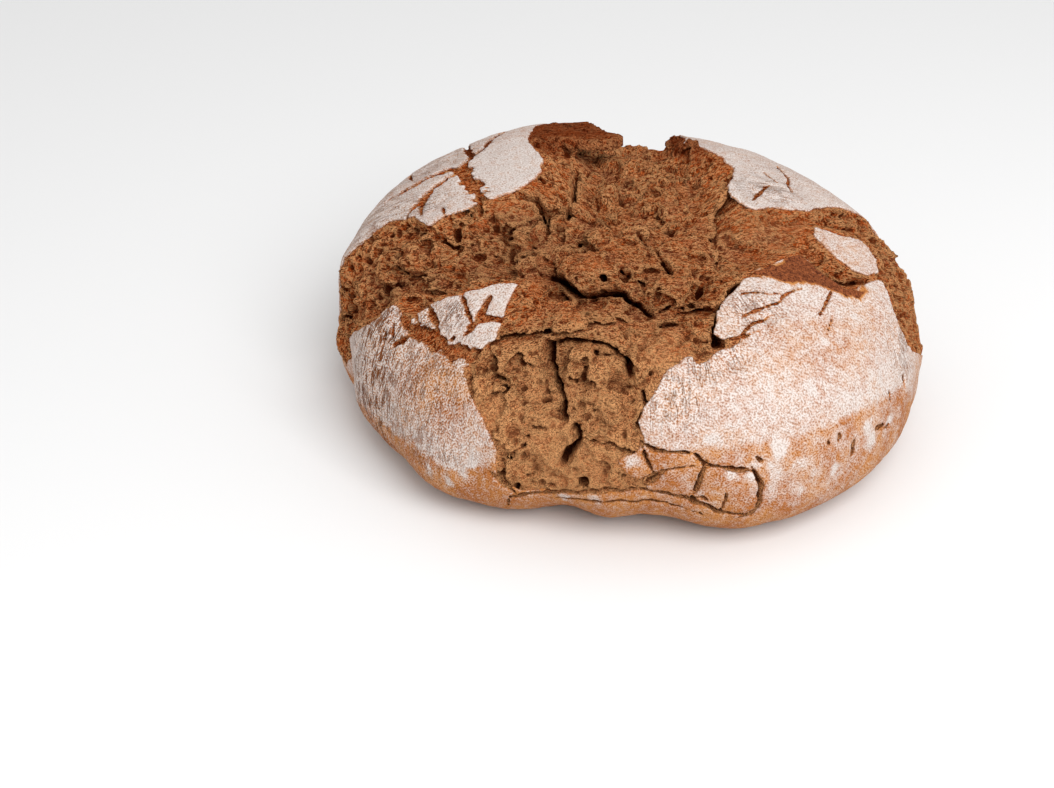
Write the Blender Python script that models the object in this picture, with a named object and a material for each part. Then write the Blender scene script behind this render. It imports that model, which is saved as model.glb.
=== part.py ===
"""A round rye bread loaf that burst open in the oven along a cross.

Blender 4.5 script, metres, +Z up. The loaf stands on its flat base, with the origin in the
base's middle. It is one closed solid: a sphere whose points are laid on a loaf-shaped skin,
then pushed inwards where the crust tore and the crumb shows.

A place on the skin is given on a flat map, as if the skin were peeled from the crown: its
distance from the map's middle is the distance down the skin from the crown, and its direction
is the direction seen from above. The front of the loaf is at -Y.
"""

import math

import bmesh
import bpy
import numpy as np

# Driving sizes of the whole loaf.
SHORT_WIDTH = 0.240
LONG_WIDTH = 0.265
HEIGHT = 0.0985
LONG_WAY = math.radians(124)  # direction of the longer width, from +X
WIDEST_AT = 0.028  # height of the widest level
SHOULDER_POWER = 2.65  # 2 is a plain dome, and more gives it squarer shoulders
BASE_SHARE = 0.76  # the flat base's width, as a share of the widest level's
UNDERSIDE_POWER = 2.2  # how sharply the side turns in towards the base
SWELLING = 0.0022  # how far the crust swells and sinks between its cuts
# Where the side is pinched in, or bulges out: place on the map, reach, and how far inwards.
PINCHES = (
    ((0.014, -0.190), 0.036, 0.012),
    ((-0.040, -0.184), 0.030, 0.009),
    ((-0.112, -0.132), 0.026, -0.004),
    ((0.124, -0.008), 0.024, -0.004),
)

# The sphere that the skin is laid on: 2 * SECTORS * (RINGS - 1) triangles.
SECTORS = 104
RINGS = 48
RINGS_ABOVE_BASE = 44
PROFILE_STEPS = 400

# The torn cross: arms from the middle of the tear outwards, on the map of the skin.
TEAR_MIDDLE = (-0.005, -0.030)
ARMS = {
    # name: (far end on the map, half widths, then depths, at the middle and at the far end)
    "left": ((-0.138, -0.022), (0.032, 0.028), (0.027, 0.005)),
    "right": ((0.128, -0.004), (0.034, 0.030), (0.022, 0.004)),
    "back": ((-0.002, 0.128), (0.036, 0.024), (0.022, 0.003)),
    "front": ((-0.034, -0.132), (0.040, 0.034), (0.018, 0.003)),
}
WALL = 0.013  # how far in from the crust's edge the tear reaches its full depth
ARM_BLEND = 0.005  # rounding of the corners where two arms meet
SHALLOWING = 0.35  # the share of an arm's length over which it rises towards its far end

# Mounds of crumb that rise from the tear's floor: place on the map, half length and half
# width, the direction of the length, and the height.
MOUNDS = (
    ((0.006, -0.004), 0.044, 0.030, math.radians(80), 0.016),
    ((-0.035, -0.064), 0.032, 0.018, math.radians(15), 0.010),
    ((0.058, -0.018), 0.028, 0.020, math.radians(60), 0.006),
    ((-0.012, -0.112), 0.026, 0.018, math.radians(100), 0.004),
)
# Clefts in the crumb: two ends on the map, half width and depth.
CLEFTS = (
    ((-0.036, -0.042), (0.018, -0.056), 0.008, 0.010),
    ((-0.032, -0.092), (-0.028, -0.125), 0.007, 0.006),
    ((0.036, -0.044), (0.038, 0.030), 0.008, 0.007),
)

CRUST_COLOUR = (0.62, 0.45, 0.33, 1.0)
CRUST_ROUGHNESS = 0.85


def smooth(share):
    """0 to 1 as share goes from 0 to 1, level at both ends."""
    share = np.clip(share, 0.0, 1.0)
    return share * share * (3.0 - 2.0 * share)


def profile():
    """The skin's half section: share of the plan's radius, height, and distance from the crown."""
    angle = np.linspace(0.0, math.pi / 2, PROFILE_STEPS)
    across = np.sin(angle)
    upward = np.maximum(np.cos(angle), 0.0)
    reach = (across**SHOULDER_POWER + upward**SHOULDER_POWER) ** (-1 / SHOULDER_POWER)
    top_share = reach * across
    top_height = WIDEST_AT + (HEIGHT - WIDEST_AT) * reach * upward

    drop = np.linspace(0.0, 1.0, PROFILE_STEPS)[1:]
    turn_in = np.sqrt(1.0 - drop**UNDERSIDE_POWER)
    side_share = BASE_SHARE + (1.0 - BASE_SHARE) * turn_in
    side_height = WIDEST_AT * (1.0 - drop)

    share = np.concatenate([top_share, side_share])
    height = np.concatenate([top_height, side_height])
    mean_radius = (SHORT_WIDTH + LONG_WIDTH) / 4
    steps = np.hypot(np.diff(share) * mean_radius, np.diff(height))
    distance = np.concatenate([[0.0], np.cumsum(steps)])
    return share, height, distance


def plan_radius(direction):
    """The oval plan's radius at the widest level."""
    along = math.cos(direction - LONG_WAY) / (LONG_WIDTH / 2)
    across = math.sin(direction - LONG_WAY) / (SHORT_WIDTH / 2)
    return 1.0 / math.hypot(along, across)


def arm_at(place, far_end, half_widths, depths):
    """How far inside an arm's edge a place is, negative outside the arm, and the depth there."""
    middle = np.array(TEAR_MIDDLE)
    axis = np.array(far_end) - middle
    offset = place - middle
    along = float(np.clip(offset @ axis / (axis @ axis), 0.0, 1.0))
    half_width = half_widths[0] + (half_widths[1] - half_widths[0]) * along
    inside = half_width - float(np.linalg.norm(offset - along * axis))
    rising = float(smooth((along - 1.0 + SHALLOWING) / SHALLOWING))
    return inside, depths[0] + (depths[1] - depths[0]) * rising


def tear_depth(place):
    """How deep the tear's floor lies under the skin, with its arms joined by round corners."""
    inside, depths = np.array([arm_at(place, *arm) for arm in ARMS.values()]).T
    weights = np.exp((inside - inside.max()) / ARM_BLEND)
    joined = inside.max() + ARM_BLEND * math.log(weights.sum())
    depth = float(weights @ depths / weights.sum())
    return depth * float(smooth(joined / WALL))


def mound_height(place):
    """How far the mounds of crumb rise from the tear's floor."""
    height = 0.0
    for centre, half_length, half_width, direction, rise in MOUNDS:
        offset = place - np.array(centre)
        along = offset[0] * math.cos(direction) + offset[1] * math.sin(direction)
        across = offset[1] * math.cos(direction) - offset[0] * math.sin(direction)
        far = math.hypot(along / half_length, across / half_width)
        height += rise * float(smooth(1.0 - far / 1.6))
    return height


def cleft_depth(place):
    """How much deeper the clefts cut."""
    depth = 0.0
    for start, end, half_width, cut in CLEFTS:
        axis = np.array(end) - np.array(start)
        offset = place - np.array(start)
        along = np.clip(offset @ axis / (axis @ axis), 0.0, 1.0)
        far = np.linalg.norm(offset - along * axis)
        depth += cut * float(smooth(1.0 - far / (1.8 * half_width)))
    return depth


def swelling(place, direction):
    """A slow rise and fall, so that no two sides of the loaf are quite alike."""
    down = float(np.linalg.norm(place)) / 0.1
    wave = 0.6 * math.sin(2 * direction + 0.7) + 0.4 * math.sin(3 * direction - 1.1)
    return SWELLING * (wave * smooth(down) + 0.4 * math.sin(3.1 * down + 2 * direction))


def pinch(place):
    """How far the loaf's side is pinched in at a place."""
    inwards = 0.0
    for centre, reach, most in PINCHES:
        far = float(np.linalg.norm(place - np.array(centre))) / reach
        inwards += most * math.exp(-far * far)
    return inwards


def skin_point(direction, distance, section):
    """A point of the finished surface, for a direction and a distance down from the crown."""
    shares, heights, distances = section
    share = float(np.interp(distance, distances, shares))
    height = float(np.interp(distance, distances, heights))
    radius = share * plan_radius(direction)
    untorn = np.array([radius * math.cos(direction), radius * math.sin(direction), height])
    heart = np.array([0.0, 0.0, WIDEST_AT])
    ray = untorn - heart
    length = float(np.linalg.norm(ray))
    place = distance * np.array([math.cos(direction), math.sin(direction)])
    torn = tear_depth(place)
    opened = float(smooth(torn / 0.010))
    inwards = torn - opened * (mound_height(place) - cleft_depth(place))
    inwards = max(inwards, 0.0) - (1.0 - opened) * swelling(place, direction)
    above_base = float(smooth(height / WIDEST_AT))
    point = heart + ray * (1.0 - above_base * inwards / length)
    outwards = np.array([math.cos(direction), math.sin(direction), 0.0])
    return point - pinch(place) * outwards


def centre_over_origin(bm):
    """Moves the points sideways, so that the origin is under the middle of the loaf's box."""
    places = np.array([vert.co[:2] for vert in bm.verts])
    middle = (places.min(axis=0) + places.max(axis=0)) / 2
    bmesh.ops.translate(bm, verts=bm.verts, vec=(-middle[0], -middle[1], 0.0))


def loaf_mesh():
    """The sphere's points moved onto the loaf, with its last rings drawn in to a flat base."""
    section = profile()
    skin_length = section[2][-1]
    bm = bmesh.new()
    bmesh.ops.create_uvsphere(bm, u_segments=SECTORS, v_segments=RINGS, radius=1.0)
    for vert in bm.verts:
        direction = math.atan2(vert.co.y, vert.co.x)
        ring = round(math.acos(max(-1.0, min(1.0, vert.co.z))) / math.pi * RINGS)
        if ring <= RINGS_ABOVE_BASE:
            distance = skin_length * ring / RINGS_ABOVE_BASE
            vert.co = skin_point(direction, distance, section)
        else:
            inner = (RINGS - ring) / (RINGS - RINGS_ABOVE_BASE)
            vert.co = inner * skin_point(direction, skin_length, section)
    centre_over_origin(bm)
    bmesh.ops.recalc_face_normals(bm, faces=bm.faces)
    mesh = bpy.data.meshes.new("loaf")
    bm.to_mesh(mesh)
    bm.free()
    mesh.shade_smooth()
    return mesh


def crust_material():
    material = bpy.data.materials.new("floured_rye_crust")
    material.use_nodes = True
    shader = material.node_tree.nodes["Principled BSDF"]
    shader.inputs["Base Color"].default_value = CRUST_COLOUR
    shader.inputs["Roughness"].default_value = CRUST_ROUGHNESS
    shader.inputs["Metallic"].default_value = 0.0
    return material


def clear_scene():
    for obj in list(bpy.data.objects):
        bpy.data.objects.remove(obj)


def main():
    clear_scene()
    collection = bpy.data.collections.new("rye_bread_loaf")
    bpy.context.scene.collection.children.link(collection)
    loaf = bpy.data.objects.new("loaf", loaf_mesh())
    loaf.data.materials.append(crust_material())
    collection.objects.link(loaf)


main()
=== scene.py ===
"""Looks of a round rye bread loaf that burst open in the oven along a cross.

The loaf is two closed pieces. "crust" is the baked skin, a few millimetres thick, with its torn
edges, loose plates, cracks and flour. "crumb" is the bread under it, which shows in the tear with
its lumps, clefts and pores. Both are worked out as fields on one grid of small cells, and their
surfaces are then meshed.

A place on the skin is given on a flat map in millimetres, as if the skin were peeled from the
crown: its distance from the map's middle is the distance down the skin from the crown, and its
direction is the direction seen from above. The front is at -Y. Depth is measured from the untorn
skin towards the loaf's heart.
"""

import math
from concurrent.futures import ThreadPoolExecutor

import bpy
import numpy as np
import openvdb as vdb
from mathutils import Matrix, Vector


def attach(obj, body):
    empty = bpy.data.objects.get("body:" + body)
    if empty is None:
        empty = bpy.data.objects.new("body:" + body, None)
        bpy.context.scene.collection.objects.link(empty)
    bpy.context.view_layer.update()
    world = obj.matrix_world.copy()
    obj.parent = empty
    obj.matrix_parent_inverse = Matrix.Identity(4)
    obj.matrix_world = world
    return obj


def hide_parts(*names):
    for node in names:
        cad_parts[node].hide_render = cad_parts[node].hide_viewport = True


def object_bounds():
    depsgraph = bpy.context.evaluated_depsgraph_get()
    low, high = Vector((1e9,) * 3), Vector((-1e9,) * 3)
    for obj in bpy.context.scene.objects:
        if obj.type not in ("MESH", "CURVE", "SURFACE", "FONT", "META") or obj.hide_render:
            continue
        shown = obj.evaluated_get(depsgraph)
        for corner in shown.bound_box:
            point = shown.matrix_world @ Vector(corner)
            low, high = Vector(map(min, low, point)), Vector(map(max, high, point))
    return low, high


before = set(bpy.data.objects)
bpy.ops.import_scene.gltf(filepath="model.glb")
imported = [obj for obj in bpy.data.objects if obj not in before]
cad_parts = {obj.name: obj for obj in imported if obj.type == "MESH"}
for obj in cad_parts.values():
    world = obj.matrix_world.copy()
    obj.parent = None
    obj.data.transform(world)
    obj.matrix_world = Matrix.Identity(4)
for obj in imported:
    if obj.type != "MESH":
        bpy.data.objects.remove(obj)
CAD_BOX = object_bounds()

MM = 0.001

# The untorn skin, as in the CAD model.
SHORT_WIDTH = 240.0
LONG_WIDTH = 265.0
HEIGHT = 98.5
LONG_WAY = math.radians(124)  # direction of the longer width, from +X
WIDEST_AT = 28.0  # height of the widest level
SHOULDER_POWER = 2.65
BASE_SHARE = 0.76
UNDERSIDE_POWER = 2.2
HEART = (0.6, -1.4)  # where the skin's axis stands in the frame
BASE_EDGE = 212.0  # distance down the skin at which the flat base starts

CELL = 0.75  # size of the grid's cells
MARGIN = 7.0  # free space round the loaf in the grid
SLAB = 6  # how many layers of cells are worked out at once
THREADS = 4
MAP_STEP = 0.6  # size of the skin map's cells
MAP_REACH = 320.0

CRUST_EDGE = 1.3  # the crust's thickness at a torn edge
CRUST_THICKNESS = 3.2
CRUST_TAPER = 7.0  # how far in from an edge the crust is thinner
EDGE_STEP = 1.0  # how far the crumb lies under the skin at a torn edge
WALL = 9.0  # how far from a torn edge the crumb slopes down

# The crust's torn edge, corner by corner on the skin map, once round the tear.
TORN_EDGE = [
    # up the front arm's left side and out along the left arm
    (-62, -158), (-68, -154), (-72, -148), (-70, -143), (-65, -138), (-67, -130), (-70, -120),
    (-73, -110), (-73, -101), (-68, -99), (-66, -97), (-57, -93), (-54, -86), (-52, -80),
    (-47, -68), (-58, -66), (-72, -67), (-84, -65), (-97, -68), (-101, -63), (-104, -54),
    (-113, -55), (-120, -54), (-130, -47), (-138, -40), (-148, -33), (-160, -30), (-171, -20),
    # back in along the left arm's far side, and up the back arm
    (-170, 4), (-150, 12), (-133, 8), (-120, 5), (-105, 8), (-98, 2), (-92, 0), (-90, -7),
    (-85, -14), (-80, -10), (-71, -8), (-66, -5), (-62, 0), (-57, -2), (-47, 3), (-42, 7),
    (-34, 19), (-33, 30), (-35, 41), (-38, 53), (-38, 66), (-33, 85), (-28, 100), (-24, 130),
    # round the back arm's end and down to the right arm
    (-12, 150), (8, 154), (24, 138), (30, 110), (33, 85), (30, 66), (38, 56), (46, 42),
    (50, 30), (48, 18), (45, 8), (43, 0), (47, -9), (53, -13), (60, -9), (70, -8), (78, -5),
    (82, 0), (88, 6), (95, 12), (105, 18), (113, 24), (130, 26), (150, 20),
    # round the right arm's end and back to the front
    (163, 2), (164, -16), (156, -34), (143, -48), (131, -57), (122, -60), (115, -58), (110, -53),
    (107, -45), (104, -39), (97, -45), (93, -50), (88, -56), (80, -58), (68, -58), (52, -59),
    (42, -62), (37, -69), (32, -78), (30, -86), (29, -93), (33, -95), (39, -94), (36, -97),
    (30, -100), (26, -105), (23, -107), (20, -103), (17, -105), (10, -112), (6, -119), (0, -131), (3, -137), (-1, -143), (-9, -146), (-6, -151), (0, -155), (6, -160),
    (-8, -162), (-30, -163), (-50, -161),
]
# Plates of crust that stand alone in the tear.
LOOSE_PLATES = [
    [(75, -25), (77, -19), (88, -20), (97, -17), (101, -21), (104, -28), (103, -36),
     (98, -41), (90, -41), (83, -37), (77, -30)],
]
# Strips of the crust without any flour.
BARE = [
    [(44, -58), (50, -54), (57, -49), (63, -44), (67, -42), (71, -47), (76, -52), (85, -55),
     (90, -53), (93, -49), (95, -51), (90, -57), (82, -60), (68, -59.5), (55, -61)],
]
# Cracks through the crust: path on the skin map, half width, depth.
CRACKS = [
    # between the front left quarter and the small plates behind it
    ([(-102, -64), (-97, -72), (-91, -80), (-85, -86), (-78, -92), (-72, -96), (-63, -98)], 4.4, 2.6),
    ([(-99, -75), (-103, -76), (-109, -74)], 1.5, 2.5), ([(-106, -64), (-108, -71)], 1.3, 2.0),
    ([(-88, -64), (-86, -74), (-84, -82)], 1.8, 2.4), ([(-94, -66), (-93, -76)], 0.9, 1.8),
    ([(-71, -65), (-70, -75), (-67, -86)], 1.0, 2.2),
    ([(-59, -72), (-62, -77), (-66, -83), (-71, -87)], 2.0, 1.9),
    ([(-70, -84), (-62, -83), (-51, -86)], 1.4, 1.9), ([(-115, -70), (-111, -65)], 0.8, 1.6),
    # the back left quarter
    ([(-106, 33), (-95, 34), (-84, 36), (-76, 37), (-66, 36)], 2.2, 2.0),
    ([(-80, 38), (-73, 36), (-66, 34)], 4.2, 2.2),
    ([(-67, 40), (-67, 28), (-66, 18), (-63, 6), (-61, -8)], 4.6, 2.3),
    ([(-70, 110), (-67, 74), (-64, 49), (-66, 38)], 2.0, 2.5),
    ([(-44, 100), (-53, 73), (-59, 52), (-68, 36)], 1.8, 2.5),
    ([(-70, 32), (-80, 23), (-86, 17), (-92, 9), (-96, 2)], 2.0, 2.5),
    ([(-84, 19), (-88, 8), (-89, -2)], 1.2, 2.0), ([(-79, 0), (-78, -12)], 0.7, 2.0),
    ([(-96, 74), (-92, 42)], 1.0, 2.0), ([(-28, 13), (-42, 6), (-50, -2)], 1.3, 2.5),
    ([(-30, 18), (-36, 14), (-44, 3)], 1.0, 2.0),
    # the back right quarter
    ([(73, 49), (75, 28), (73, 9)], 0.9, 2.0), ([(63, 12), (57, 3), (53, -5)], 1.0, 2.0),
    ([(64, 31), (68, 17)], 0.8, 2.0),
    # the front right quarter
    ([(38, -72), (47, -69), (55, -68)], 0.5, 1.6),
    ([(64, -62), (58, -67), (52, -74), (45, -79), (40, -83)], 0.6, 1.6),
    ([(50, -80), (44, -85), (39, -91), (31, -96), (27, -97)], 0.9, 1.6),
    ([(46, -88), (38, -93), (30, -97)], 0.6, 1.6),
    ([(77, -58), (74, -66), (70, -76)], 0.7, 1.6), ([(76, -72), (74, -82)], 0.4, 1.4),
    # pits in the flank of the front right quarter
    ([(100, -117), (103, -122)], 2.0, 5.0), ([(87, -118), (89, -121)], 1.3, 3.0),
    ([(82, -122), (84, -123)], 1.0, 2.0), ([(111, -107), (119, -101)], 1.2, 3.0),
    ([(51, -138), (54, -139)], 1.1, 2.5), ([(120, -76), (126, -79)], 1.1, 2.5),
    ([(120, -102), (124, -99)], 1.0, 2.5), ([(113, -88), (119, -92)], 0.8, 2.0),
    # the plates under the front right quarter
    ([(-2, -131), (2, -139), (8, -141), (24, -141), (32, -146)], 1.0, 6.0),
    ([(26, -143), (34, -145), (42, -144), (52, -143), (57, -150)], 0.9, 5.0),
    ([(50, -142), (57, -148), (60, -155), (61, -162), (54, -168)], 1.5, 6.0),
    ([(30, -142), (29, -150), (30, -155), (28, -165)], 1.1, 6.0),
    ([(1, -136), (3, -144), (9, -152)], 0.8, 4.0),
    ([(-8, -154), (2, -156), (8, -152), (14, -149), (24, -147), (31, -144)], 0.7, 4.0),
    ([(3, -159), (8, -155), (12, -151)], 1.3, 5.0), ([(43, -154), (44, -165)], 0.8, 4.0),
    ([(-4, -160), (14, -162), (28, -164), (45, -166), (56, -164), (62, -158)], 1.3, 6.0),
    ([(28, -164), (33, -161), (38, -162)], 1.0, 4.0),
    # under the front arm
    ([(-82, -168), (-70, -160), (-60, -161), (-45, -164), (-20, -164), (4, -161)], 1.2, 6.0),
    ([(-74, -145), (-69, -153), (-65, -159)], 1.5, 5.0),
    ([(-50, -168), (-20, -169), (10, -168), (40, -171)], 0.8, 4.0),
]
# The crumb's relief: place on the skin map and depth under the untorn skin.
RELIEF = [
    # the left arm
    (-165, -12, 2), (-148, -8, 5), (-148, -22, 6), (-125, 2, 3), (-125, -10, 9),
    (-125, -25, 16), (-124, -42, 12), (-105, 0, 3), (-105, -10, 9), (-105, -22, 17),
    (-105, -38, 22), (-88, -12, 3), (-85, -22, 9), (-85, -34, 20), (-85, -52, 23),
    (-72, -6, 3), (-66, -18, 11), (-66, -32, 20), (-66, -50, 25), (-50, -3, 3),
    (-52, -16, 9), (-52, -28, 18), (-50, -42, 20), (-48, -58, 18), (-40, -2, 3),
    (-36, -20, 12), (-34, -34, 20),
    # the mound in the middle and the back arm
    (-30, 0, 4), (-27, 20, 3), (-28, 40, 3), (-28, 60, 3), (-18, 0, 15), (-17, 22, 17),
    (-15, 42, 19), (-8, 52, 19), (-12, 66, 17), (-8, 10, 11), (0, -8, 10), (20, 0, 9), (36, 5, 11),
    (0, -35, 10), (20, -35, 10), (-22, -30, 15), (-22, -50, 13), (0, -55, 11),
    (22, -55, 12), (-18, -66, 15), (0, -72, 15), (20, -72, 14), (0, 30, 11),
    (22, 30, 10), (38, 30, 9), (0, 58, 13), (20, 58, 13), (10, 90, 18), (5, 120, 13), (23, 105, 10),
    (5, 145, 6), (-2, 44, 15),
    # the right arm
    (46, -35, 12), (48, -18, 9), (48, 0, 5), (60, -15, 5), (60, -32, 9), (60, -50, 9),
    (75, -12, 5), (74, -34, 8), (76, -50, 11), (88, -48, 13), (95, -46, 10), (90, 2, 3.5),
    (105, 6, 4), (120, 2, 4), (115, -18, 4), (130, -22, 4), (148, -10, 3), (148, -40, 3),
    (90, -29, 3), (105, -26, 5),
    # the shelf left of the front arm's head
    (-60, -90, 1.2), (-50, -76, 1.5), (-40, -86, 2), (-50, -94, 1.5), (-28, -88, 3.5),
    (-30, -95, 3), (-12, -92, 6.5), (-12, -96, 6), (2, -96, 9),
    # the chasm between the shelf and the mound
    (-34, -66, 24), (-26, -73, 26), (-14, -78, 22), (0, -82, 23), (8, -87, 24),
    (18, -84, 20), (26, -84, 17),
    # the front arm
    (-62, -104, 4), (-50, -106, 9), (-36, -107, 15), (-24, -106, 14), (-10, -106, 14),
    (4, -106, 10), (14, -99, 9), (24, -93, 14), (20, -102, 8), (-66, -118, 2.5),
    (-52, -120, 6), (-34, -120, 13), (-18, -120, 10), (0, -120, 8), (-60, -132, 2),
    (-45, -134, 4), (-28, -132, 7), (-10, -134, 7), (-1, -134, 4), (-62, -148, 1.5),
    (-40, -148, 2), (-20, -148, 2.5), (-8, -140, 4), (-40, -158, 1.5), (-10, -157, 2),
]
RELIEF_REACH = 7.0  # how far a relief place is felt
# Rounded lumps on the relief: middle on the map, half length, half width, direction in degrees,
# depth of the top, and how much deeper the rim is.
LUMPS = [
    # back wall of the left arm
    (-37, 2, 22, 9, 82, 1.8, 9), (-51, -11, 16, 12, 80, 3.2, 10), (-76, -12, 12, 7, 75, 5.0, 8),
    (-84, -26, 11, 7, 60, 10, 7), (-100, -14, 14, 9, 60, 6, 8), (-117, -10, 13, 9, 40, 6, 8),
    (-136, -14, 12, 11, 20, 5, 6), (-100, -34, 12, 8, 30, 16, 6), (-76, -40, 12, 9, 20, 18, 6),
    # the grey lobe left of the mound, and the mound
    (-42, -40, 21, 13, 25, 13.5, 9), (-17, -56, 23, 16, 35, 8.5, 9), (18, -60, 20, 14, 80, 9, 8),
    (2, -22, 25, 23, 0, 8, 7), (27, -14, 30, 13, 90, 8.5, 7), (-9, 12, 22, 12, 90, 9.0, 8),
    (17, 42, 24, 17, 90, 9, 7), (30, 12, 16, 11, 80, 8, 6), (4, 66, 18, 12, 10, 13, 6),
    # the right arm
    (57, -16, 19, 12, 70, 4, 6), (66, -36, 13, 9, 20, 6, 5), (80, -13, 12, 9, 0, 3.5, 5),
    (100, 3, 14, 8, 25, 2, 4), (121, -2, 12, 8, 0, 2.5, 4), (128, -22, 12, 9, 70, 2.5, 4),
    # the front arm
    (-49, -111, 15, 11, 60, 6.0, 8), (-23, -106, 5, 4.5, 0, 3.5, 8), (-27, -113, 6, 4, 60, 6.5, 8),
    (-13, -113, 9, 7, 20, 4.5, 8), (-11, -127, 12, 10, 0, 4.5, 6), (6, -108, 14, 8, 60, 5, 7),
    (-30, -140, 9, 6, 0, 2.5, 5), (14, -97, 12, 6, 35, 6, 8), (-22, -149, 8, 5, 10, 2.0, 4),
]
# Thin folds that stand up from the lumps: path on the map and depth of the crest.
FOLDS = [
    ([(-50, 22), (-47, 4), (-44, -16)], 2.5), ([(-69, 20), (-70, 4), (-67, -14)], 3.5),
    ([(-44, -47), (-32, -39), (-18, -29)], 12.0), ([(-16, -6), (-8, -22)], 7.0),
    ([(-12, -12), (-6, -27)], 7.0), ([(55, 30), (50, 8), (48, -10), (47, -34)], 5.5),
    ([(8, -36), (12, -46)], 8.0), ([(-58, -28), (-60, -44), (-58, -60)], 15.0),
    ([(-66, -100), (-69, -110), (-68, -120)], 1.5), ([(-60, -106), (-62, -118)], 3.0),
    ([(-4, -126), (-14, -124), (-24, -131)], 3.5), ([(0, -99), (-1, -108), (0, -118)], 4.5),
]
# Torn tongues of skin that stand over the crumb: outline on the map, depth and thickness.
FLAPS = [
    ([(-38, 100), (-38, 60), (-26, 56), (-14, 52), (-4, 50), (2, 54), (-4, 63), (-10, 76),
      (-15, 104)], 0.3, 5.0),
]
# Clefts in the crumb: path on the map, half width at the skin, depth under the skin, and which
# way the cleft leans as it goes down, in map units a unit of depth.
CLEFTS = [
    # the chasm
    ([(-41, -60), (-35, -65), (-30, -71), (-25, -78)], 5.0, 38, (0.0, 0.25)),
    ([(-25, -77), (-14, -76), (-4, -76), (3, -82), (9, -90)], 4.6, 34, (0.0, 0.25)),
    ([(8, -91), (14, -86), (18, -81)], 2.6, 27, (0.0, 0.25)),
    ([(21, -87), (26, -84), (31, -82)], 3.2, 22, (0.0, 0.25)),
    ([(31, -90), (31, -97)], 3.0, 20, (0.25, 0.0)),
    ([(-13, -70), (-12, -74)], 3.2, 24, (0.0, 0.8)), ([(4, -74), (7, -77)], 3.0, 24, (0.0, 0.8)),
    ([(-4, -66), (0, -72)], 2.6, 24, (0.0, 0.8)), ([(24, -75), (28, -75)], 1.8, 18, (0.0, 0.25)),
    # creases of the mound
    ([(2, -30), (8, -38), (12, -48), (15, -55), (14, -62)], 1.6, 20, (0.25, 0.0)),
    ([(11, -50), (15, -58)], 2.2, 20, (0.25, 0.0)),
    ([(42, -60), (42, -45), (43, -30), (44, -14), (46, 0), (50, 20)], 1.9, 20, (-0.2, 0.0)),
    ([(-27, -8), (-22, 8), (-20, 26), (-19, 46)], 1.9, 28, (-0.2, 0.0)),
    ([(-44, -44), (-28, -36), (-18, -30)], 1.0, 18, (0.0, 0.25)),
    ([(16, -2), (16, -10), (15, -19)], 1.2, 15, (0.0, 0.0)),
    ([(-4, 22), (-2, 12), (-3, 3)], 1.2, 16, (0.0, 0.0)),
    ([(26, -25), (30, -29)], 1.6, 14, (0.0, 0.0)), ([(20, -20), (22, -24)], 1.0, 12, (0.0, 0.0)),
    # round the lumps of the left arm's back wall
    ([(-47, 3), (-40, -3), (-37, -12), (-40, -22)], 1.8, 22, (-0.2, 0.0)),
    ([(-64, -1), (-65, -6)], 2.2, 12, (0.0, 0.0)), ([(-70, -3), (-72, -9)], 2.4, 14, (0.0, 0.0)),
    ([(-64, -14), (-59, -21)], 2.2, 20, (0.0, 0.0)), ([(-52, -25), (-49, -29)], 2.0, 24, (0.0, 0.0)),
    ([(-75, 18), (-75, 3)], 2.4, 18, (0.0, 0.0)),
    ([(-62, -30), (-48, -25), (-38, -16), (-28, -14)], 2.6, 30, (0.0, 0.8)),
    ([(-64, -26), (-62, -40), (-62, -58)], 2.0, 32, (0.0, 0.0)),
    ([(-126, -20), (-118, -24)], 2.0, 22, (0.0, 0.0)), ([(-88, -16), (-84, -24)], 1.6, 20,
                                                        (0.0, 0.0)),
    # under the shelf's front edge and down the front arm
    ([(-60, -97), (-46, -99), (-30, -100), (-12, -100), (0, -102)], 2.4, 22, (0.0, 0.8)),
    ([(-38, -100), (-39, -108), (-36, -116), (-34, -122)], 4.6, 26, (0.0, 0.0)),
    ([(-34, -118), (-33, -126), (-33, -132)], 3.4, 22, (0.0, 0.0)),
    ([(-60, -102), (-62, -108), (-58, -112)], 1.8, 16, (0.0, 0.0)),
    ([(-18, -103), (-9, -106), (-3, -110), (-2, -116)], 2.6, 22, (0.0, 0.25)),
    ([(-36, -102), (-29, -101), (-18, -103)], 2.4, 20, (0.0, 0.25)),
    ([(-29, -118), (-23, -121), (-17, -118)], 2.0, 14, (0.0, 0.25)),
    ([(-64, -116), (-58, -118), (-54, -116)], 1.2, 10, (0.0, 0.25)),
    ([(-47, -131), (-43, -134)], 1.4, 10, (0.0, 0.0)),
    ([(-28, -135), (-27, -140), (-32, -145), (-36, -149)], 3.0, 16, (0.0, 0.0)),
    ([(-25, -140), (-18, -142), (-7, -144), (2, -144)], 1.3, 10, (0.0, 0.25)),
    ([(-64, -156), (-67, -158), (-72, -165)], 2.2, 10, (0.0, 0.0)),
    ([(-72, -147), (-62, -141), (-52, -138), (-50, -133)], 0.6, 6, (0.0, 0.0)),
    ([(-58, -153), (-52, -153), (-45, -151)], 0.8, 6, (0.0, 0.0)),
    ([(-32, -161), (-20, -163), (-8, -161)], 0.8, 6, (0.0, 0.0)),
    ([(2, -120), (4, -126), (0, -132)], 1.8, 14, (0.25, 0.0)),
    # under the front right quarter's steep edge, and the scoop by the loose plate
    ([(30, -98), (32, -84), (35, -74), (40, -66)], 2.0, 20, (0.25, 0.0)),
    ([(97, -44), (89, -47), (82, -50)], 3.0, 18, (0.25, 0.0)),
]
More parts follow.
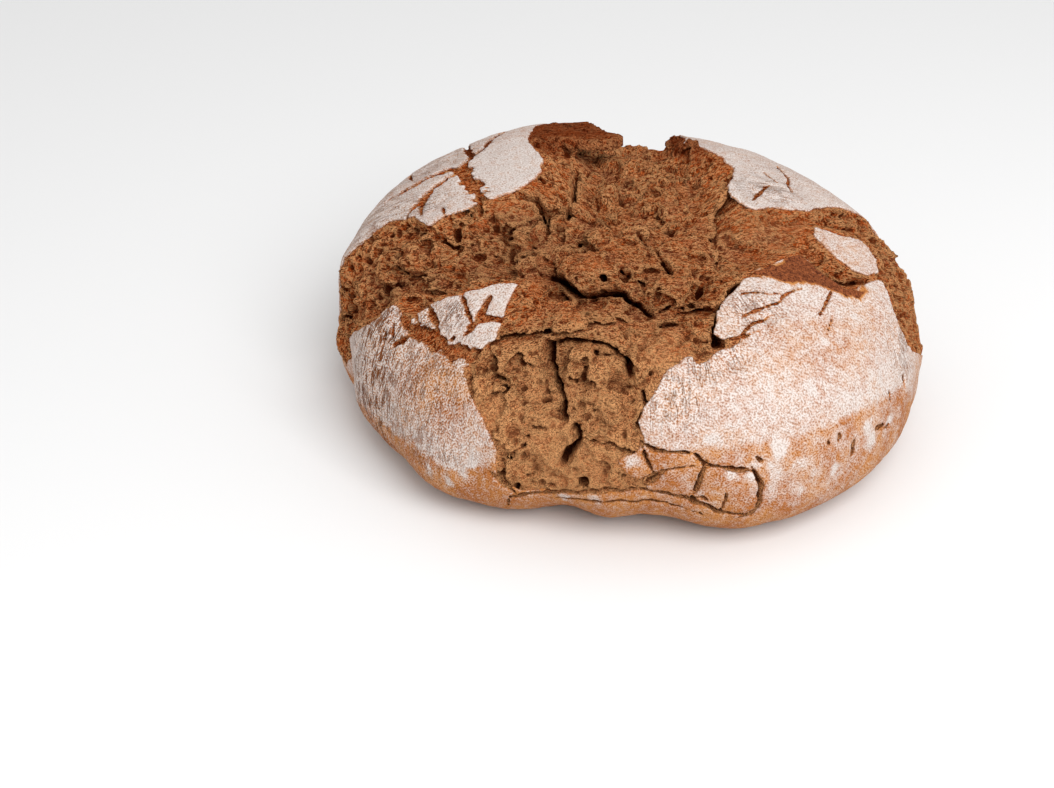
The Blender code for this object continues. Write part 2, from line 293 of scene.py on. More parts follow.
# Where pores are closer together: place on the map, reach and how many times more.
PORE_NESTS = [
    (-120, -12, 26, 2.5), (-95, -20, 24, 2.5), (-70, -25, 20, 3.0), (-52, -20, 14, 2.0),
    (118, 4, 22, 4.0), (132, -18, 20, 4.0), (120, -55, 20, 4.0), (95, 4, 14, 1.5),
    (30, -50, 9, 2.0), (-50, -112, 12, 1.5), (20, 30, 18, 1.0), (38, 36, 9, 3.0),
    (-85, -82, 8, 4.0),
]
# Where the skin is swollen or pulled in: place on the map, reach and how far inwards.
SWELLINGS = [
    (14, -190, 36, 12), (-46, -182, 30, 11), (-112, -132, 26, -4), (-30, 100, 45, -3),
    (124, -8, 24, -5), (146, -24, 18, -2.5), (24, 75, 22, 3), (-132, 8, 14, -2.5),
    (-152, 0, 14, 3), (-162, -36, 18, 5), (1, 57, 8, -2),
    (15, -145, 7, -1.0), (17, -156, 8, -1.2), (45, -154, 10, -1.4), (-3, -150, 6, -0.8),
]
# Where the crumb is smoother: place on the map and reach.
CALM = [(-35, -156, 30), (145, -22, 36), (-51, -10, 13), (12, -102, 9), (-66, -124, 8),
        (60, -20, 20), (-50, -30, 12)]
PORES = 4500
CAVITY_REACH = 5.0
RIDGE_REACH = 1.7
CRUMB_TRIANGLES = 190000
CRUST_TRIANGLES = 190000
FEWEST_POINTS = 150  # smaller closed bits of a surface are left out

# Colours, as light values.
CRUMB_TAN = (0.80, 0.20, 0.053)
CRUMB_GREY = (0.57, 0.172, 0.07)
CRUMB_BAKED = (0.74, 0.132, 0.02)
# The next colour makes the front arm paler: partly its own paler tone, partly painted light where the front faces the
# lamp.
CRUMB_FRONT = (1.0, 0.42, 0.17)
# The next colour serves both the pale torn fibres and painted highlight on the crumb's convex ridges.
CRUMB_LIGHT = (1.0, 0.50, 0.21)
# The next colour is painted shade, laid into the crumb's pits, hollows and cavities.
CRUMB_PAINTED_SHADE = (0.105, 0.013, 0.0025)
CRUMB_SINGED = (0.29, 0.052, 0.014)
CRUST_BROWN = (0.40, 0.133, 0.029)
CRUST_TAN = (0.50, 0.205, 0.058)
CRUST_DARK = (0.18, 0.052, 0.015)
BARE_DARK = (0.07, 0.014, 0.004)
BARE_LIGHT = (0.28, 0.08, 0.026)
FLOUR_WHITE = (0.68, 0.61, 0.575)
FLOUR_SHADE = (0.51, 0.425, 0.375)
FLOOR_COLOUR = (0.78, 0.78, 0.78, 1.0)


# How floury the crust is: place on the map and share covered.
FLOUR = [
    # the front left quarter and its small plates
    (-140, -50, 1.05), (-150, -65, 1.1), (-120, -64, .82), (-130, -85, .75), (-100, -80, .72),
    (-112, -105, .55), (-95, -100, .36), (-85, -112, .34), (-76, -125, .6), (-90, -122, .5),
    (-80, -136, 1.2), (-95, -134, 1.2), (-110, -120, 1.2), (-130, -98, 1.15), (-70, -146, .3),
    (-72, -156, .1), (-95, -152, .15), (-122, -132, .15), (-142, -110, .15), (-162, -75, .3),
    (-62, -74, 1.05), (-77, -73, 1.05), (-62, -90, 1.05), (-93, -70, .75),
    # the back quarters
    (-50, 30, 1.15), (-75, 5, 1.0), (-80, 20, 1.0), (-110, 20, 1.0), (-85, 50, .95), (-60, 80, .92),
    (-120, 45, .88), (-140, 20, .8), (-155, 0, .6), (-90, 100, .88), (-40, 120, .85),
    (-120, 100, .8), (60, 20, 1.1), (52, -5, 1.1), (75, 0, 1.05), (65, 50, 1.0), (90, 40, 1.0),
    (115, 45, .85), (60, 90, .88), (100, 90, .85), (140, 60, .8), (40, 130, .85),
    # the front right quarter
    (45, -65, 1), (60, -63, 1), (80, -63, .95), (40, -85, .8), (60, -90, .62),
    (82, -85, .5), (100, -70, .62), (112, -48, .95), (128, -70, .95), (30, -103, .78),
    (15, -115, .8), (8, -130, .8), (30, -128, .78), (50, -122, .66), (70, -110, .54),
    (88, -88, .5), (49, -126, 1.3), (64, -117, 1.3), (86, -103, 1.25), (101, -87, 1.25),
    (118, -76, 1.15), (28, -134, 1.1),
    (135, -80, .8), (30, -138, .5), (48, -140, .35), (80, -136, .45), (72, -128, .55), (65, -130, .6), (102, -124, .25),
    (118, -108, .35), (134, -94, .4), (148, -68, .5), (75, -148, .3), (100, -140, .2),
    (40, -147, .6), (14, -145, .7), (-3, -147, .8), (15, -156, .12), (42, -156, .15),
    (66, -145, .55), (30, -170, .25), (65, -165, .12), (95, -155, .12), (132, -120, .12),
    (155, -80, .2), (88, -30, .78),
    # the rim and the underside
    (-40, -167, .5), (-10, -168, .5), (15, -169, .4), (-90, -175, .12), (0, -190, .1),
    (90, -180, .1), (160, -110, .12), (190, 0, .3), (150, 130, .4), (0, 190, .4),
    (-150, 130, .4), (-190, 0, .3), (-160, -110, .12), (0, 0, .9),
]
FLOUR_REACH = 9.0
# Round the loaf's flank the flour stops along this line, and the crust below it is nearly bare.
FLOUR_LINE = [
    (-66, -142), (-82, -140), (-92, -137), (-98, -134), (-104, -127), (-116, -115),
    (-128, -106), (-141, -90), (-151, -76), (-159, -62), (-167, -45), (-173, -20), (-176, 10), (-170, 50),
    (-150, 92), (-120, 126), (-80, 152), (-30, 166), (20, 168), (70, 156), (115, 130), (146, 92),
    (162, 50), (166, 10), (164, -30), (156, -60), (144, -74), (124, -81), (108, -95),
    (96, -105), (83, -114), (66, -127), (50, -132), (36, -137), (20, -141), (0, -141),
]
BELOW_LINE = 0.16
# Patches of flour below that line: middle on the map, reach and how much more flour.
PATCHES = [
    (98, -122, 26, 0.45), (72, -140, 16, 0.35), (130, -96, 20, 0.35), (60, -148, 10, 0.3),
    (54, -136, 14, 0.55), (80, -126, 10, 0.3), (26, -154, 18, 0.3),
    (-60, 165, 60, 0.4), (150, 60, 60, 0.4), (-160, 60, 60, 0.3),
]
# Thick white lumps of flour: place on the map and radius.
FLOUR_LUMPS = [
    (68, -107, 3.0), (110, -112, 4.5), (86, -70, 2.0), (72, -86, 2.2), (60, -132, 4.0),
    (95, -132, 2.5), (42, -146, 3.5), (50, -146, 3.0), (-2, -146, 3.0), (104, -108, 3.5),
    (80, -146, 2.5), (-100, -140, 3.0), (-88, -141, 3.5), (-108, -131, 3.0), (122, -97, 3.0),
    (30, -133, 2.0), (118, -70, 3.0), (-80, -138, 3.0), (-40, -168, 3.0), (-22, -168, 3.0),
]
# Places with fine wrinkle lines in the flour: middle on the map, reach and strength.
WRINKLES = [
    (-120, -66, 24, 1.6), (-138, -78, 26, 1.4), (-92, -72, 9, 1.0), (-76, -76, 8, 0.9),
    (-110, 18, 24, 0.6), (-88, 8, 12, 0.7), (-90, 60, 30, 0.5), (64, 8, 16, 0.5),
    (85, 40, 30, 0.2), (34, -100, 9, 0.5), (24, -108, 8, 0.5), (44, -78, 12, 0.5),
    (120, -66, 14, 0.6), (-94, -132, 10, 0.6), (0, 160, 60, 0.4), (160, 20, 40, 0.4),
    (-105, -100, 40, 0.6), (14, -120, 14, 0.5),
]


def smooth(share):
    """0 to 1 as share goes from 0 to 1, level at both ends."""
    share = np.clip(share, 0.0, 1.0)
    return share * share * (3.0 - 2.0 * share)


def in_threads(work, items):
    """Runs work on each item, a few at a time, and keeps the results' order."""
    with ThreadPoolExecutor(THREADS) as pool:
        return list(pool.map(work, items))


# --- Noise -----------------------------------------------------------------------------------

GRADIENTS = 4096
_random = np.random.default_rng(11)
_gradients = _random.normal(size=(GRADIENTS, 3)).astype(np.float32)
_gradients /= np.linalg.norm(_gradients, axis=1, keepdims=True)


def noise(x, y, z, size, seed):
    """Smooth gradient noise, about -1 to 1, with features of the given size."""
    cells = []
    parts = []
    for values in (x, y, z):
        scaled = np.asarray(values, np.float32) / np.float32(size) + np.float32(seed * 17.37)
        floor = np.floor(scaled)
        cells.append(floor.astype(np.int32))
        parts.append(scaled - floor)
    fades = [p * p * p * (p * (p * 6 - 15) + 10) for p in parts]
    total = np.zeros(np.shape(parts[0]), np.float32)
    for corner in range(8):
        steps = (corner & 1, corner >> 1 & 1, corner >> 2 & 1)
        key = (cells[0] + steps[0]) * 73856093
        key ^= (cells[1] + steps[1]) * 19349663
        key ^= (cells[2] + steps[2]) * 83492791
        key = (key ^ (key >> 13)) & (GRADIENTS - 1)
        gradient = _gradients[key]
        dot = sum(gradient[..., i] * (parts[i] - steps[i]) for i in range(3))
        for fade, step in zip(fades, steps):
            dot = dot * (fade if step else 1 - fade)
        total += dot
    return total * 1.6


def flat_noise(x, y, size, seed):
    return noise(x, y, np.zeros_like(x), size, seed)


def ragged(x, y, coarse, fine, seed):
    """The places, pushed about a little, so that lines drawn on them come out ragged."""
    pushed = []
    for turn, values in enumerate((x, y)):
        pushed.append(values + coarse * flat_noise(x, y, 6.5, seed + turn)
                      + fine * flat_noise(x, y, 2.3, seed + 2 + turn))
    return pushed


# --- The skin and its map --------------------------------------------------------------------

def skin_section():
    """The untorn skin's half section by direction from the heart: angle, reach and distance."""
    angle = np.linspace(0.0, math.pi / 2, 500)
    across = np.sin(angle)
    upward = np.maximum(np.cos(angle), 0.0)
    reach = (across**SHOULDER_POWER + upward**SHOULDER_POWER) ** (-1 / SHOULDER_POWER)
    drop = np.linspace(0.0, 1.0, 300)[1:]
    turn_in = np.sqrt(1.0 - drop**UNDERSIDE_POWER)
    inwards = np.linspace(1.0, 0.0, 100)[1:]
    share = np.concatenate([reach * across, BASE_SHARE + (1 - BASE_SHARE) * turn_in,
                            BASE_SHARE * inwards])
    above = HEIGHT - WIDEST_AT
    height = np.concatenate([above * reach * upward, -WIDEST_AT * drop,
                             np.full(len(inwards), -WIDEST_AT)])
    mean_radius = (SHORT_WIDTH + LONG_WIDTH) / 4
    steps = np.hypot(np.diff(share) * mean_radius, np.diff(height))
    distance = np.concatenate([[0.0], np.cumsum(steps)])
    return np.arctan2(share, height / above), np.hypot(share, height / above), distance


SECTION_ANGLE, SECTION_REACH, SECTION_DISTANCE = skin_section()


def plan_radius(direction):
    """The oval plan's radius at the widest level."""
    along = np.cos(direction - LONG_WAY) / (LONG_WIDTH / 2)
    across = np.sin(direction - LONG_WAY) / (SHORT_WIDTH / 2)
    return 1.0 / np.hypot(along, across)


def to_map(x, y, z):
    """Map place and depth of points given in millimetres."""
    x = x - HEART[0]
    y = y - HEART[1]
    z = z - WIDEST_AT
    direction = np.arctan2(y, x)
    flat = np.hypot(x, y)
    share = flat / plan_radius(direction)
    level = z / (HEIGHT - WIDEST_AT)
    angle = np.arctan2(share, level)
    size = np.interp(angle, SECTION_ANGLE, SECTION_REACH) / np.maximum(np.hypot(share, level), 1e-6)
    distance = np.interp(angle, SECTION_ANGLE, SECTION_DISTANCE)
    depth = np.sqrt(flat * flat + z * z) * (size - 1.0)
    return [v.astype(np.float32) for v in
            (distance * np.cos(direction), distance * np.sin(direction), depth)]


def from_map(map_x, map_y, depth):
    """Points in millimetres of map places at a depth."""
    distance = np.hypot(map_x, map_y)
    direction = np.arctan2(map_y, map_x)
    angle = np.interp(distance, SECTION_DISTANCE, SECTION_ANGLE)
    reach = np.interp(angle, SECTION_ANGLE, SECTION_REACH)
    flat = reach * np.sin(angle) * plan_radius(direction)
    level = reach * np.cos(angle) * (HEIGHT - WIDEST_AT)
    share = 1.0 - depth / np.hypot(flat, level)
    return (HEART[0] + share * flat * np.cos(direction),
            HEART[1] + share * flat * np.sin(direction),
            WIDEST_AT + share * level)


MAP_AXIS = np.arange(-MAP_REACH, MAP_REACH + MAP_STEP, MAP_STEP, dtype=np.float32)


def on_map(work):
    """A field of the skin map, from a function of places; its rows are shared out to threads."""
    rows = np.array_split(MAP_AXIS, 4 * THREADS)
    bands = in_threads(lambda some: work(*np.meshgrid(some, MAP_AXIS, indexing="ij")), rows)
    return np.concatenate([band.astype(np.float32) for band in bands])


def sample(field, map_x, map_y):
    """Reads a field of the skin map between its cells."""
    last = len(MAP_AXIS) - 1.001
    u = np.clip((map_x + MAP_REACH) / MAP_STEP, 0, last)
    v = np.clip((map_y + MAP_REACH) / MAP_STEP, 0, last)
    i = u.astype(np.int32)
    j = v.astype(np.int32)
    u = (u - i).astype(np.float32)
    v = (v - j).astype(np.float32)
    near = field[i, j] * (1 - u) + field[i + 1, j] * u
    far = field[i, j + 1] * (1 - u) + field[i + 1, j + 1] * u
    return near * (1 - v) + far * v


def path_distance(x, y, path):
    """Distance to a path of straight stretches."""
    return along_path(x, y, path)[0]


def along_path(x, y, path):
    """Distance to a path of straight stretches, and the nearest point's share of its way."""
    steps = [math.hypot(bx - ax, by - ay) for (ax, ay), (bx, by) in zip(path, path[1:])]
    best = np.full(x.shape, 1e9, np.float32)
    share = np.zeros(x.shape, np.float32)
    done = 0.0
    for (ax, ay), (bx, by), step in zip(path, path[1:], steps):
        dx, dy = bx - ax, by - ay
        along = np.clip(((x - ax) * dx + (y - ay) * dy) / (step * step), 0, 1)
        far = (x - ax - along * dx) ** 2 + (y - ay - along * dy) ** 2
        share = np.where(far < best, (done + along * step) / sum(steps), share)
        best = np.minimum(best, far)
        done += step
    return np.sqrt(best), share


def inside_distance(x, y, outline):
    """Distance to a closed outline, positive inside it."""
    inside = np.zeros(x.shape, bool)
    for (ax, ay), (bx, by) in zip(outline, outline[1:] + outline[:1]):
        if ay != by:
            crosses = ((ay > y) != (by > y)) & (x < (bx - ax) * (y - ay) / (by - ay) + ax)
            inside ^= crosses
    far = path_distance(x, y, outline + outline[:1])
    return np.where(inside, far, -far)


def through_places(x, y, places, reach):
    """A smooth field through values given at places."""
    total = np.zeros(x.shape, np.float32)
    weight = np.zeros(x.shape, np.float32)
    for px, py, value in places:
        far = ((x - px) ** 2 + (y - py) ** 2) / reach**2
        near = np.exp(-0.5 * far) + 1e-3 / (1.0 + far * far)
        total += near * value
        weight += near
    return total / weight


# --- What is drawn on the skin map ---------------------------------------------------------------

def crust_cover(x, y):
    """Distance to the torn edge, positive on the crust, without the cracks."""
    x, y = ragged(x, y, 0.9, 0.4, 1)
    cover = -inside_distance(x, y, TORN_EDGE)
    for plate in LOOSE_PLATES + BARE:
        cover = np.maximum(cover, inside_distance(x, y, plate))
    return cover


def crack_field(x, y):
    """How far inside a crack a place is, and how deep that crack goes."""
    pushed_x, pushed_y = ragged(x, y, 0.9, 0.4, 1)
    width = 0.85 + 0.55 * flat_noise(x, y, 4.5, 6) + 0.35 * flat_noise(x, y, 2.0, 7)
    inside = np.full(x.shape, -99.0, np.float32)
    deep = np.zeros(x.shape, np.float32)
    for path, half_width, depth in CRACKS:
        far, share = along_path(pushed_x, pushed_y, path)
        here = half_width * width * (0.35 + 2.6 * share * (1.0 - share)) - far
        deep = np.where(here > inside, depth, deep)
        inside = np.maximum(inside, here)
    return inside, deep


def relief_depth(x, y):
    """The crumb's depth under the skin away from the torn edge: relief and rounded lumps."""
    depth = through_places(x, y, RELIEF, RELIEF_REACH)
    x, y = ragged(x, y, 1.6, 0.5, 7)
    for px, py, long, short, turn, top, drop in LUMPS:
        along = math.radians(turn)
        u = ((x - px) * math.cos(along) + (y - py) * math.sin(along)) / long
        v = ((y - py) * math.cos(along) - (x - px) * math.sin(along)) / short
        far = np.minimum(u * u + v * v, 1.0)
        lump = top + drop * (1.0 - np.sqrt(1.0 - far))
        depth = np.where(far < 1.0, np.minimum(depth, lump), depth)
    for path, crest in FOLDS:
        far, share = along_path(x, y, path)
        fold = crest + 6.0 * (2.0 * share - 1.0) ** 4 + 2.2 * np.maximum(far - 0.5, 0.0)
        depth = np.minimum(depth, fold)
    return depth


def crust_thickness(cover):
    return CRUST_EDGE + (CRUST_THICKNESS - CRUST_EDGE) * smooth(cover / CRUST_TAPER)


class SkinMaps:
    """Everything that is drawn on the skin map, each as one field."""

    def __init__(self):
        cover = on_map(crust_cover)
        inside_crack, crack_depth = (on_map(lambda x, y, part=part: crack_field(x, y)[part])
                                     for part in (0, 1))
        self.tear = -cover
        self.cover = np.minimum(cover, -inside_crack)
        self.rough = np.maximum(smooth((self.tear + 1.0) / 5.0), 0.5 * smooth(inside_crack / 1.5))
        relief = on_map(relief_depth)
        opened = EDGE_STEP + (relief - EDGE_STEP) * smooth(self.tear / WALL)
        tucked = 0.6 * crust_thickness(self.cover)
        cracked = np.minimum(crack_depth, EDGE_STEP + 6.0 * np.maximum(inside_crack, 0))
        covered = np.where(inside_crack > 0, cracked, tucked)
        self.floor = np.where(self.tear > 0, opened, covered).astype(np.float32)
        slope = np.gradient(self.floor, MAP_STEP)
        self.steep = np.sqrt(1.0 + slope[0] ** 2 + slope[1] ** 2)
        self.swelling = on_map(skin_swelling)
        self.clefts = cleft_maps()
        self.flaps = [on_map(lambda x, y, flap=flap: inside_distance(*ragged(x, y, 0.6, 0.3, 61),
                                                                     flap[0])) for flap in FLAPS]
        self.flour = on_map(flour_cover)
        self.wrinkle = on_map(wrinkle_strength)


def skin_swelling(x, y):
    """How far the real skin lies inside the plain one: broad swellings and small dents."""
    fade = smooth((BASE_EDGE - 3.0 - np.hypot(x, y)) / 15.0)
    small = fade * (0.8 * flat_noise(x, y, 24.0, 41) + 0.35 * flat_noise(x, y, 8.0, 42)
                    + 0.15 * flat_noise(x, y, 3.2, 43))
    for px, py, reach, inwards in SWELLINGS:
        broad = inwards * np.exp(-((x - px) ** 2 + (y - py) ** 2) / reach**2)
        small += broad if inwards > 0 else broad * fade
    return small


def cleft_maps():
    """For each lean, how far inside a cleft's line a map place is, and how fast it narrows."""
    maps = {}
    for lean in sorted({cleft[3] for cleft in CLEFTS}):
        chosen = [cleft for cleft in CLEFTS if cleft[3] == lean]

        def field(x, y, part, chosen=chosen):
            x, y = ragged(x, y, 1.5, 1.0, 31)
            inside = np.full(x.shape, -99.0, np.float32)
            taper = np.zeros(x.shape, np.float32)
            for path, half_width, depth, _ in chosen:
                here = half_width - path_distance(x, y, path)
                taper = np.where(here > inside, half_width / depth, taper)
                inside = np.maximum(inside, here)
            return (inside, taper)[part]

        maps[lean] = [on_map(lambda x, y, part=part: field(x, y, part)) for part in (0, 1)]
    return maps


def flour_cover(x, y):
    """The share of the crust that flour hides, and -1 on the bare strips."""
    share = through_places(x, y, FLOUR, FLOUR_REACH)
    x, y = ragged(x, y, 1.6, 1.0, 51)
    above = smooth(inside_distance(x, y, FLOUR_LINE) / 2.2 + 0.5)
    below = BELOW_LINE
    for px, py, reach, more in PATCHES:
        below += more * np.exp(-((x - px) ** 2 + (y - py) ** 2) / reach**2)
    drifts = 0.3 + 0.7 * smooth(0.5 + 2.0 * flat_noise(x, y, 7.0, 53))
    below = BELOW_LINE + (below - BELOW_LINE) * drifts
    share = below + (share - below) * above
    for px, py, radius in FLOUR_LUMPS:
        share += 0.8 * smooth(1.4 - np.hypot(x - px, y - py) / radius)
    share = np.clip(share, 0.0, 1.3)
    for outline in BARE:
        share -= (share + 1.0) * smooth(inside_distance(x, y, outline) / 1.2 + 0.5)
    return share


def wrinkle_strength(x, y):
    strength = np.zeros(x.shape, np.float32)
    for px, py, reach, amount in WRINKLES:
        far = ((x - px) ** 2 + (y - py) ** 2) / reach**2
        strength = np.maximum(strength, amount * np.exp(-far))
    return strength


# --- Fields of the two pieces ------------------------------------------------------------------

def grid_axes():
    low, high = CAD_BOX
    axes = []
    for a, b in zip(low, high):
        start = a / MM - MARGIN
        count = int(math.ceil((b / MM + MARGIN - start) / CELL)) + 1
        axes.append(start + CELL * np.arange(count))
    return axes


def calmness(x, y):
    """1 in the middle of the smoother places of the crumb, falling to 0 round them."""
    calm = np.zeros(x.shape, np.float32)
    for px, py, reach in CALM:
        calm = np.maximum(calm, np.exp(-((x - px) ** 2 + (y - py) ** 2) / reach**2))
    return calm


def torn_layers(x, y, depth):
    """The places pushed about, and noise that is 0 where a torn layer of crumb ends."""
    depth = 0.7 * depth
    x = x + 2.6 * noise(x, y, depth, 7.0, 22)
    y = y + 2.6 * noise(x, y, depth, 7.0, 23)
    return x, y, noise(x, y, depth, 13.0, 24)


def crumb_lumps(x, y, depth):
    """How far the crumb's surface stands out, from its lumps down to its torn roughness."""
    strength = 1.0 - 0.7 * calmness(x, y)
    rounded = 3.8 * (np.abs(noise(x, y, 0.7 * depth, 19.0, 21)) - 0.35)
    x, y, layer = torn_layers(x, y, depth)
    depth = 0.7 * depth
    ledges = 3.0 * (smooth(0.5 + 7.0 * layer) - 0.5) + 0.9 * np.exp(-((layer / 0.09) ** 2))
    walls = 1.9 * (0.26 - np.abs(noise(0.6 * x, y, depth, 5.4, 25)))
    ridges = 2.0 * (0.26 - np.abs(noise(0.55 * x, y, depth, 2.6, 26)))
    grain = 0.7 * noise(x, y, depth, 1.7, 27)
    torn = 0.5 + 0.7 * np.exp(-((layer / 0.25) ** 2))
    return strength * (rounded + ledges + torn * (walls + ridges + grain))


def fill_fields(maps, axes):
    """The crumb's and the crust's fields on the grid: negative inside, in millimetres."""
    shape = tuple(len(a) for a in axes)
    crumb = np.empty(shape, np.float32)
    crust = np.empty(shape, np.float32)

    def fill(start):
        slab = slice(start, start + SLAB)
        x, y, z = np.meshgrid(axes[0][slab], axes[1], axes[2], indexing="ij")
        map_x, map_y, depth = to_map(x, y, z)
        depth -= sample(maps.swelling, map_x, map_y)
        tear = sample(maps.tear, map_x, map_y)
        field = (sample(maps.floor, map_x, map_y) - depth) / sample(maps.steep, map_x, map_y)
        near = (np.abs(field) < 6.0) & (tear > -4.0)
        nx, ny, nd = map_x[near], map_y[near], depth[near]
        rough = sample(maps.rough, nx, ny)
        value = field[near] - rough * crumb_lumps(nx, ny, nd)
        field[near] = value
        near = (depth > 0.0) & (depth < 40.0) & (tear > -6.0)
        nx, ny, nd = map_x[near], map_y[near], depth[near]
        value = field[near]
        for lean, (inside, taper) in maps.clefts.items():
            sx, sy = nx - lean[0] * nd, ny - lean[1] * nd
            cut = sample(inside, sx, sy) - nd * sample(taper, sx, sy)
            value = np.maximum(value, cut)
        field[near] = value
        for inside, (_, top, thick) in zip(maps.flaps, FLAPS):
            flap = np.maximum(np.abs(depth - top - thick / 2) - thick / 2,
                              -sample(inside, map_x, map_y))
            field = np.minimum(field, flap)
        crumb[slab] = field

        cover = sample(maps.cover, map_x, map_y)
        shell = np.maximum(-depth, depth - crust_thickness(cover))
        crust[slab] = np.maximum(shell, -cover)

    in_threads(fill, range(0, shape[0], SLAB))
    return crumb, crust


def carve_pores(field, axes, maps):
    """Cuts oval pores of many sizes into the crumb where it shows, closer together in the nests."""
    random = np.random.default_rng(5)
    cells = np.argwhere(np.abs(field) < 0.5 * CELL)
    points = np.stack([axes[i][cells[:, i]] for i in range(3)], 1)
    map_x, map_y, _ = to_map(*points.T)
    closeness = np.full(len(points), 1.0)
    for px, py, reach, more in PORE_NESTS:
        closeness += more * np.exp(-((map_x - px) ** 2 + (map_y - py) ** 2) / reach**2)
    closeness[sample(maps.tear, map_x, map_y) < 1.0] = 0.0
    chosen = random.choice(len(points), PORES, replace=False, p=closeness / closeness.sum())
    radius = 0.6 + 1.5 * random.random(PORES) ** 6
    squeeze = random.uniform(0.4, 1.3, (PORES, 3))
    offset = random.normal(0.0, 0.5, (PORES, 3)) * radius[:, None]
    origin = np.array([a[0] for a in axes])
    for centre, r, squash in zip(points[chosen] + offset, radius, squeeze):
        reach = r / squash + 1.5 * CELL
        low = np.maximum(np.floor((centre - reach - origin) / CELL).astype(int), 0)
        high = np.ceil((centre + reach - origin) / CELL).astype(int) + 1
        block = tuple(slice(a, b) for a, b in zip(low, high))
        gx, gy, gz = ((axes[i][block[i]] - centre[i]) * squash[i] for i in range(3))
        far = np.sqrt(gx[:, None, None] ** 2 + gy[None, :, None] ** 2 + gz[None, None, :] ** 2)
        field[block] = np.maximum(field[block], r - far)


def solid_share(field, reach):
    """For each cell, the solid share of the space within reach millimetres of it."""
    share = np.clip(0.5 - field / CELL, 0.0, 1.0)
    width = max(int(round(reach / CELL)), 1)
    for axis in range(3):
        summed = np.cumsum(share, axis=axis)
        ahead = np.roll(summed, -width, axis=axis)
        share = (ahead - np.roll(summed, width + 1, axis=axis)) / (2 * width + 1)
    return share


# --- Meshes --------------------------------------------------------------------------------------

def surface_of(field, most_triangles):
    """The field's zero surface, thinned out where it is flat: points in cells and triangles."""
    grid = vdb.FloatGrid(background=4.0)
    grid.copyFromArray(np.clip(field, -4.0, 4.0), tolerance=0.0)
    points, triangles, quads = grid.convertToPolygons(isovalue=0.0, adaptivity=0.0)
    mesh = bpy.data.meshes.new("surface")
    mesh.from_pydata(points, [], np.concatenate([quads[:, [0, 1, 2]], quads[:, [0, 2, 3]]]))
    surface = bpy.data.objects.new("surface", mesh)
    bpy.context.scene.collection.objects.link(surface)
    thin = surface.modifiers.new("thin", "DECIMATE")
    thin.ratio = min(1.0, most_triangles / len(mesh.polygons))
    thin.use_collapse_triangulate = True
    thinned = surface.evaluated_get(bpy.context.evaluated_depsgraph_get()).to_mesh()
    points = np.empty(len(thinned.vertices) * 3, np.float32)
    thinned.vertices.foreach_get("co", points)
    triangles = np.empty(len(thinned.polygons) * 3, np.int32)
    thinned.polygons.foreach_get("vertices", triangles)
    bpy.data.objects.remove(surface)
    bpy.data.meshes.remove(mesh)
    return without_small_bits(points.reshape(-1, 3), triangles.reshape(-1, 3))


def without_small_bits(points, triangles):
    """Leaves out the small closed bits, which float free or lie hidden inside the bread."""
    bit = np.arange(len(points))
    before = None
    while not np.array_equal(bit, before):
        before = bit.copy()
        lowest = bit[triangles].min(axis=1)
        for corner in range(3):
            np.minimum.at(bit, triangles[:, corner], lowest)
        bit = bit[bit]
    kept = np.bincount(bit, minlength=len(points))[bit] >= FEWEST_POINTS
    number = np.cumsum(kept) - 1
    return points[kept], number[triangles[kept[triangles[:, 0]]]]


def between_cells(field, points):
    """Reads a grid field at points given in cells."""
    base = np.clip(np.floor(points).astype(int), 0, np.array(field.shape) - 2)
    part = (points - base).astype(np.float32)
    total = np.zeros(len(points), np.float32)
    for corner in range(8):
        steps = np.array([corner & 1, corner >> 1 & 1, corner >> 2 & 1])
        weight = np.prod(np.where(steps, part, 1 - part), axis=1)
        total += weight * field[tuple((base + steps).T)]
    return total


def make_piece(name, points, triangles, values):
    """A mesh object in metres, with a value for each point under each name given."""
    mesh = bpy.data.meshes.new(name)
    mesh.from_pydata(points * MM, [], triangles)
    mesh.shade_smooth()
    for label, numbers in values.items():
        kind, key = ("FLOAT_VECTOR", "vector") if numbers.ndim == 2 else ("FLOAT", "value")
        attribute = mesh.attributes.new(label, kind, "POINT")
        attribute.data.foreach_set(key, numbers.astype(np.float32).ravel())
    piece = bpy.data.objects.new(name, mesh)
    bpy.context.scene.collection.objects.link(piece)
    return piece


# Layout of the baking map: the shown side is one big disc, and the rest a small one in a corner.
BIG_DISC = (0.5, 0.5, 0.497)
SMALL_DISC = (0.084, 0.084, 0.08)
SHOWN_REACH = 172.0
SHOWN_SHARE = 0.82  # of the disc's radius


def add_bake_map(piece, place, depth, hidden_depth):
    """A UV map laid out as the skin map is, with faces deeper than hidden_depth in the corner."""
    mesh = piece.data
    corners = np.empty(len(mesh.loops), np.int32)
    mesh.loops.foreach_get("vertex_index", corners)
    corner_place = place[corners]
    distance = np.hypot(corner_place[:, 0], corner_place[:, 1])
    shown = np.minimum(distance / SHOWN_REACH, 1.0) * SHOWN_SHARE
    beyond = np.maximum(distance - SHOWN_REACH, 0.0) / (MAP_REACH - SHOWN_REACH)
    spread = (shown + beyond * (1.0 - SHOWN_SHARE)) / np.maximum(distance, 1e-6)
    deep = depth[corners].reshape(-1, 3).mean(axis=1) > hidden_depth
    disc = np.where(np.repeat(deep, 3)[:, None], SMALL_DISC, BIG_DISC)
    uv = disc[:, :2] + disc[:, 2:] * spread[:, None] * corner_place[:, :2]
    layer = mesh.uv_layers.new(name="OFBake")
    layer.data.foreach_set("uv", uv.astype(np.float32).ravel())


def place_on_skin(points, maps):
    """Map place and depth of points in millimetres, as one array."""
    map_x, map_y, depth = to_map(*points.T)
    return np.stack([map_x, map_y, depth - sample(maps.swelling, map_x, map_y)], axis=1)


